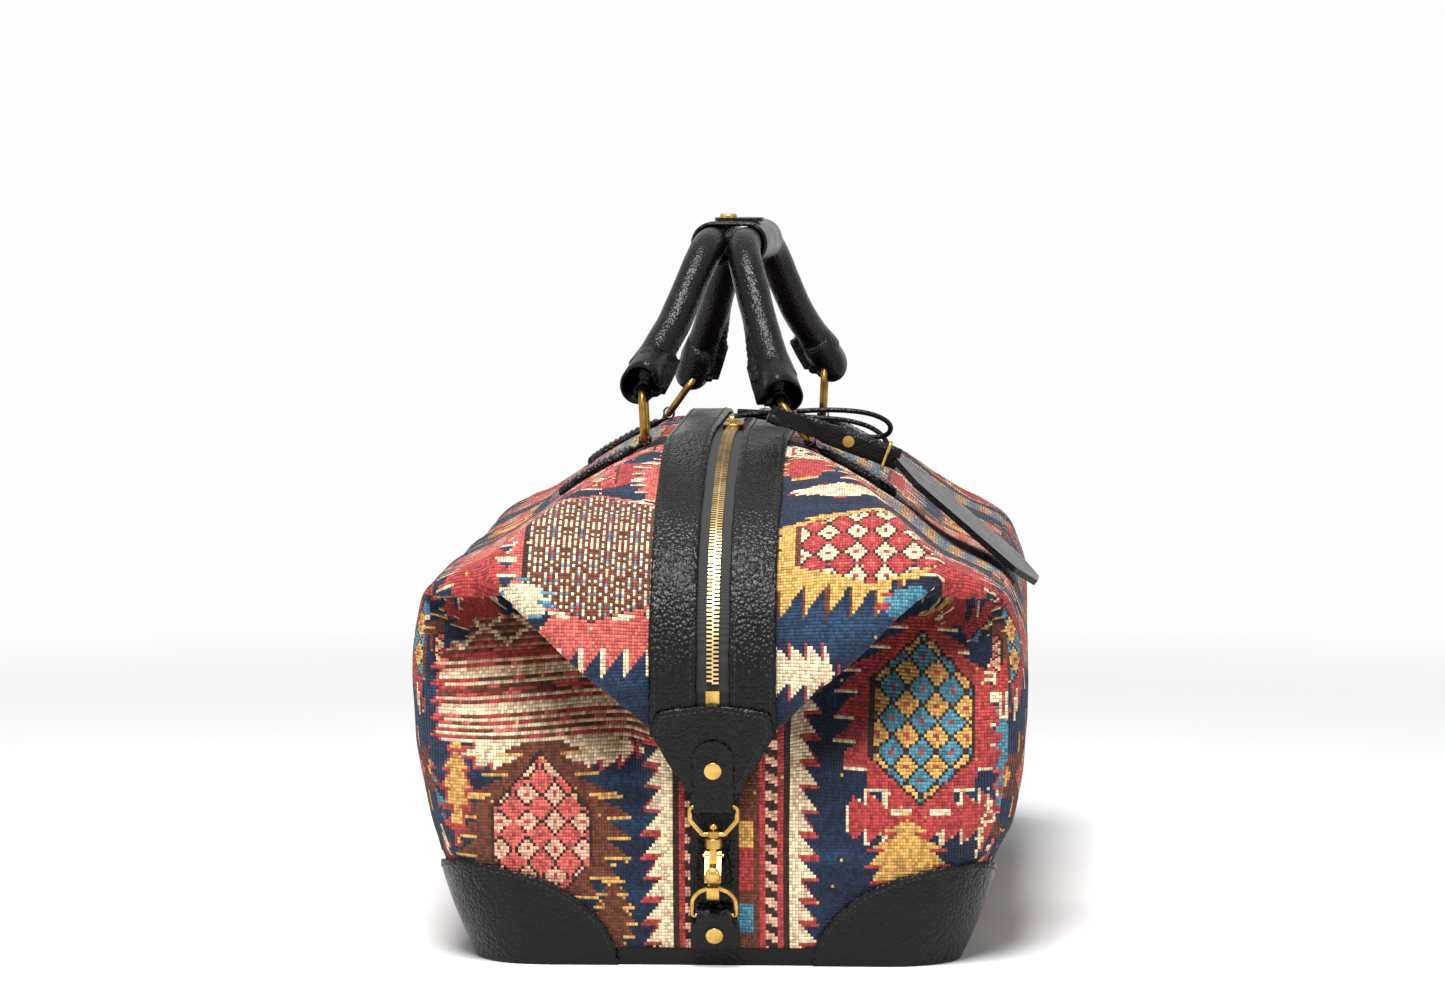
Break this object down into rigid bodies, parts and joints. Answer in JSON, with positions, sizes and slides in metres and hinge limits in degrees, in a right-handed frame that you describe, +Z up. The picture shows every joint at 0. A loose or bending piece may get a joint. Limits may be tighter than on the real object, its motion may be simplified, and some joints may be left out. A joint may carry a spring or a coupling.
{
  "type": "duffle bag",
  "caption": "Carpet weekender bag with black leather base, corners and zip bands, end wings clipped down by brass snap hooks, two rolled leather handles on brass rings and a leather luggage tag.",
  "frame": {"origin": "middle of the underside of the leather base, on the surface the bag stands on", "axes": "+X along the bag to the end with the luggage tag nearest, +Y across the bag to its tag side, +Z up"},
  "size_m": [0.543, 0.3159, 0.3723],
  "materials": {
    "carpet": "knotted wool carpet",
    "leather": "black pebbled leather, satin",
    "zip_cloth": "black woven zip tape",
    "brass": "polished brass",
    "aged_brass": "darkened brass"
  },
  "bodies": {
    "bag": {"left_side_panel": "carpet", "right_side_panel": "carpet", "near_end_panel": "carpet", "far_end_panel": "carpet", "base_panel": "leather", "near_left_corner": "leather", "near_right_corner": "leather", "far_left_corner": "leather", "far_right_corner": "leather", "left_zip_band": "leather", "right_zip_band": "leather", "zip_tape": "zip_cloth", "left_zip_teeth": "brass", "right_zip_teeth": "brass", "zip_stops": "brass", "near_wing_tab": "leather", "near_clasp_loop": "leather", "near_end_strap": "leather", "near_keeper": "leather", "far_wing_tab": "leather", "far_clasp_loop": "leather", "far_end_strap": "leather", "far_keeper": "leather", "clasp_rivets": "brass", "near_left_ring_tab": "leather", "near_right_ring_tab": "leather", "far_left_ring_tab": "leather", "far_right_ring_tab": "leather"},
    "near_slider": {"near_zip_slider": "brass"},
    "near_pull": {"near_zip_pull": "brass", "near_lace": "leather"},
    "near_swivel_bail": {"near_bail": "brass"},
    "near_snap_hook": {"near_hook": "brass"},
    "near_snap_gate": {"near_gate": "brass"},
    "near_end_ring": {"near_clasp_ring": "brass"},
    "far_slider": {"far_zip_slider": "brass"},
    "far_pull": {"far_zip_pull": "brass", "far_lace": "leather"},
    "far_swivel_bail": {"far_bail": "brass"},
    "far_snap_hook": {"far_hook": "brass"},
    "far_snap_gate": {"far_gate": "brass"},
    "far_end_ring": {"far_clasp_ring": "brass"},
    "near_left_handle_ring": {"near_left_ring": "aged_brass"},
    "near_right_handle_ring": {"near_right_ring": "aged_brass"},
    "far_left_handle_ring": {"far_left_ring": "aged_brass"},
    "far_right_handle_ring": {"far_right_ring": "aged_brass"},
    "handles": {"left_handle": "leather", "right_handle": "leather", "handle_wrap": "leather", "wrap_strap_end": "leather", "wrap_snap": "brass"},
    "tag": {"tag_strap": "leather", "luggage_tag": "leather", "tag_buckle": "brass", "tag_rivet": "brass"}
  },
  "joints": [
    {"name": "near_zip_slide", "type": "slide", "parent": "bag", "child": "near_slider", "axis": [1, 0, 0], "range_m": [0, 0.026]},
    {"name": "far_zip_slide", "type": "slide", "parent": "bag", "child": "far_slider", "axis": [1, 0, 0], "range_m": [-0.1, 0]},
    {"name": "near_pull_swing", "type": "hinge", "parent": "near_slider", "child": "near_pull", "pos_m": [0.046, 0, 0.2638], "axis": [0, -1, 0], "range_deg": [0, 90]},
    {"name": "far_pull_swing", "type": "hinge", "parent": "far_slider", "child": "far_pull", "pos_m": [0.031, 0, 0.2638], "axis": [0, 1, 0], "range_deg": [0, 90]},
    {"name": "near_bail_swing", "type": "hinge", "parent": "bag", "child": "near_swivel_bail", "pos_m": [0.25868, 0, 0.083], "axis": [0, 1, 0], "range_deg": [-2, 2]},
    {"name": "near_hook_swivel", "type": "hinge", "parent": "near_swivel_bail", "child": "near_snap_hook", "pos_m": [0.25868, 0, 0.0692], "axis": [0, 0, 1], "range_deg": [-8, 8]},
    {"name": "near_gate_swing", "type": "hinge", "parent": "near_snap_hook", "child": "near_snap_gate", "pos_m": [0.26018, 0, 0.0588], "axis": [0, 1, 0], "range_deg": [0, 12], "stiffness_Nm_per_rad": 0.02, "springref_deg": -11.46},
    {"name": "near_end_ring_swing", "type": "hinge", "parent": "bag", "child": "near_end_ring", "pos_m": [0.24929, 0, 0.027], "axis": [0, 1, 0], "range_deg": [-2, 2]},
    {"name": "far_bail_swing", "type": "hinge", "parent": "bag", "child": "far_swivel_bail", "pos_m": [-0.25868, 0, 0.083], "axis": [0, -1, 0], "range_deg": [-2, 2]},
    {"name": "far_hook_swivel", "type": "hinge", "parent": "far_swivel_bail", "child": "far_snap_hook", "pos_m": [-0.25868, 0, 0.0692], "axis": [0, 0, 1], "range_deg": [-8, 8]},
    {"name": "far_gate_swing", "type": "hinge", "parent": "far_snap_hook", "child": "far_snap_gate", "pos_m": [-0.26018, 0, 0.0588], "axis": [0, -1, 0], "range_deg": [0, 12], "stiffness_Nm_per_rad": 0.02, "springref_deg": -11.46},
    {"name": "far_end_ring_swing", "type": "hinge", "parent": "bag", "child": "far_end_ring", "pos_m": [-0.24929, 0, 0.027], "axis": [0, -1, 0], "range_deg": [-2, 2]},
    {"name": "near_left_ring_swing", "type": "hinge", "parent": "bag", "child": "near_left_handle_ring", "pos_m": [0.11, -0.043, 0.25712], "axis": [1, 0, 0], "range_deg": [-2.5, 2.5]},
    {"name": "near_right_ring_swing", "type": "hinge", "parent": "bag", "child": "near_right_handle_ring", "pos_m": [0.11, 0.043, 0.25712], "axis": [1, 0, 0], "range_deg": [-1.5, 1.5]},
    {"name": "far_left_ring_swing", "type": "hinge", "parent": "bag", "child": "far_left_handle_ring", "pos_m": [-0.11, -0.043, 0.25712], "axis": [1, 0, 0], "range_deg": [-1.5, 1.5]},
    {"name": "far_right_ring_swing", "type": "hinge", "parent": "bag", "child": "far_right_handle_ring", "pos_m": [-0.11, 0.043, 0.25712], "axis": [1, 0, 0], "range_deg": [-2.5, 2.5]},
    {"name": "handle_lift", "type": "slide", "parent": "bag", "child": "handles", "axis": [0, 0, 1], "range_m": [0, 0.0025]},
    {"name": "tag_swing", "type": "hinge", "parent": "bag", "child": "tag", "pos_m": [0.123, 0.03541, 0.26768], "axis": [1, 0, 0], "range_deg": [0, 10]}
  ]
}
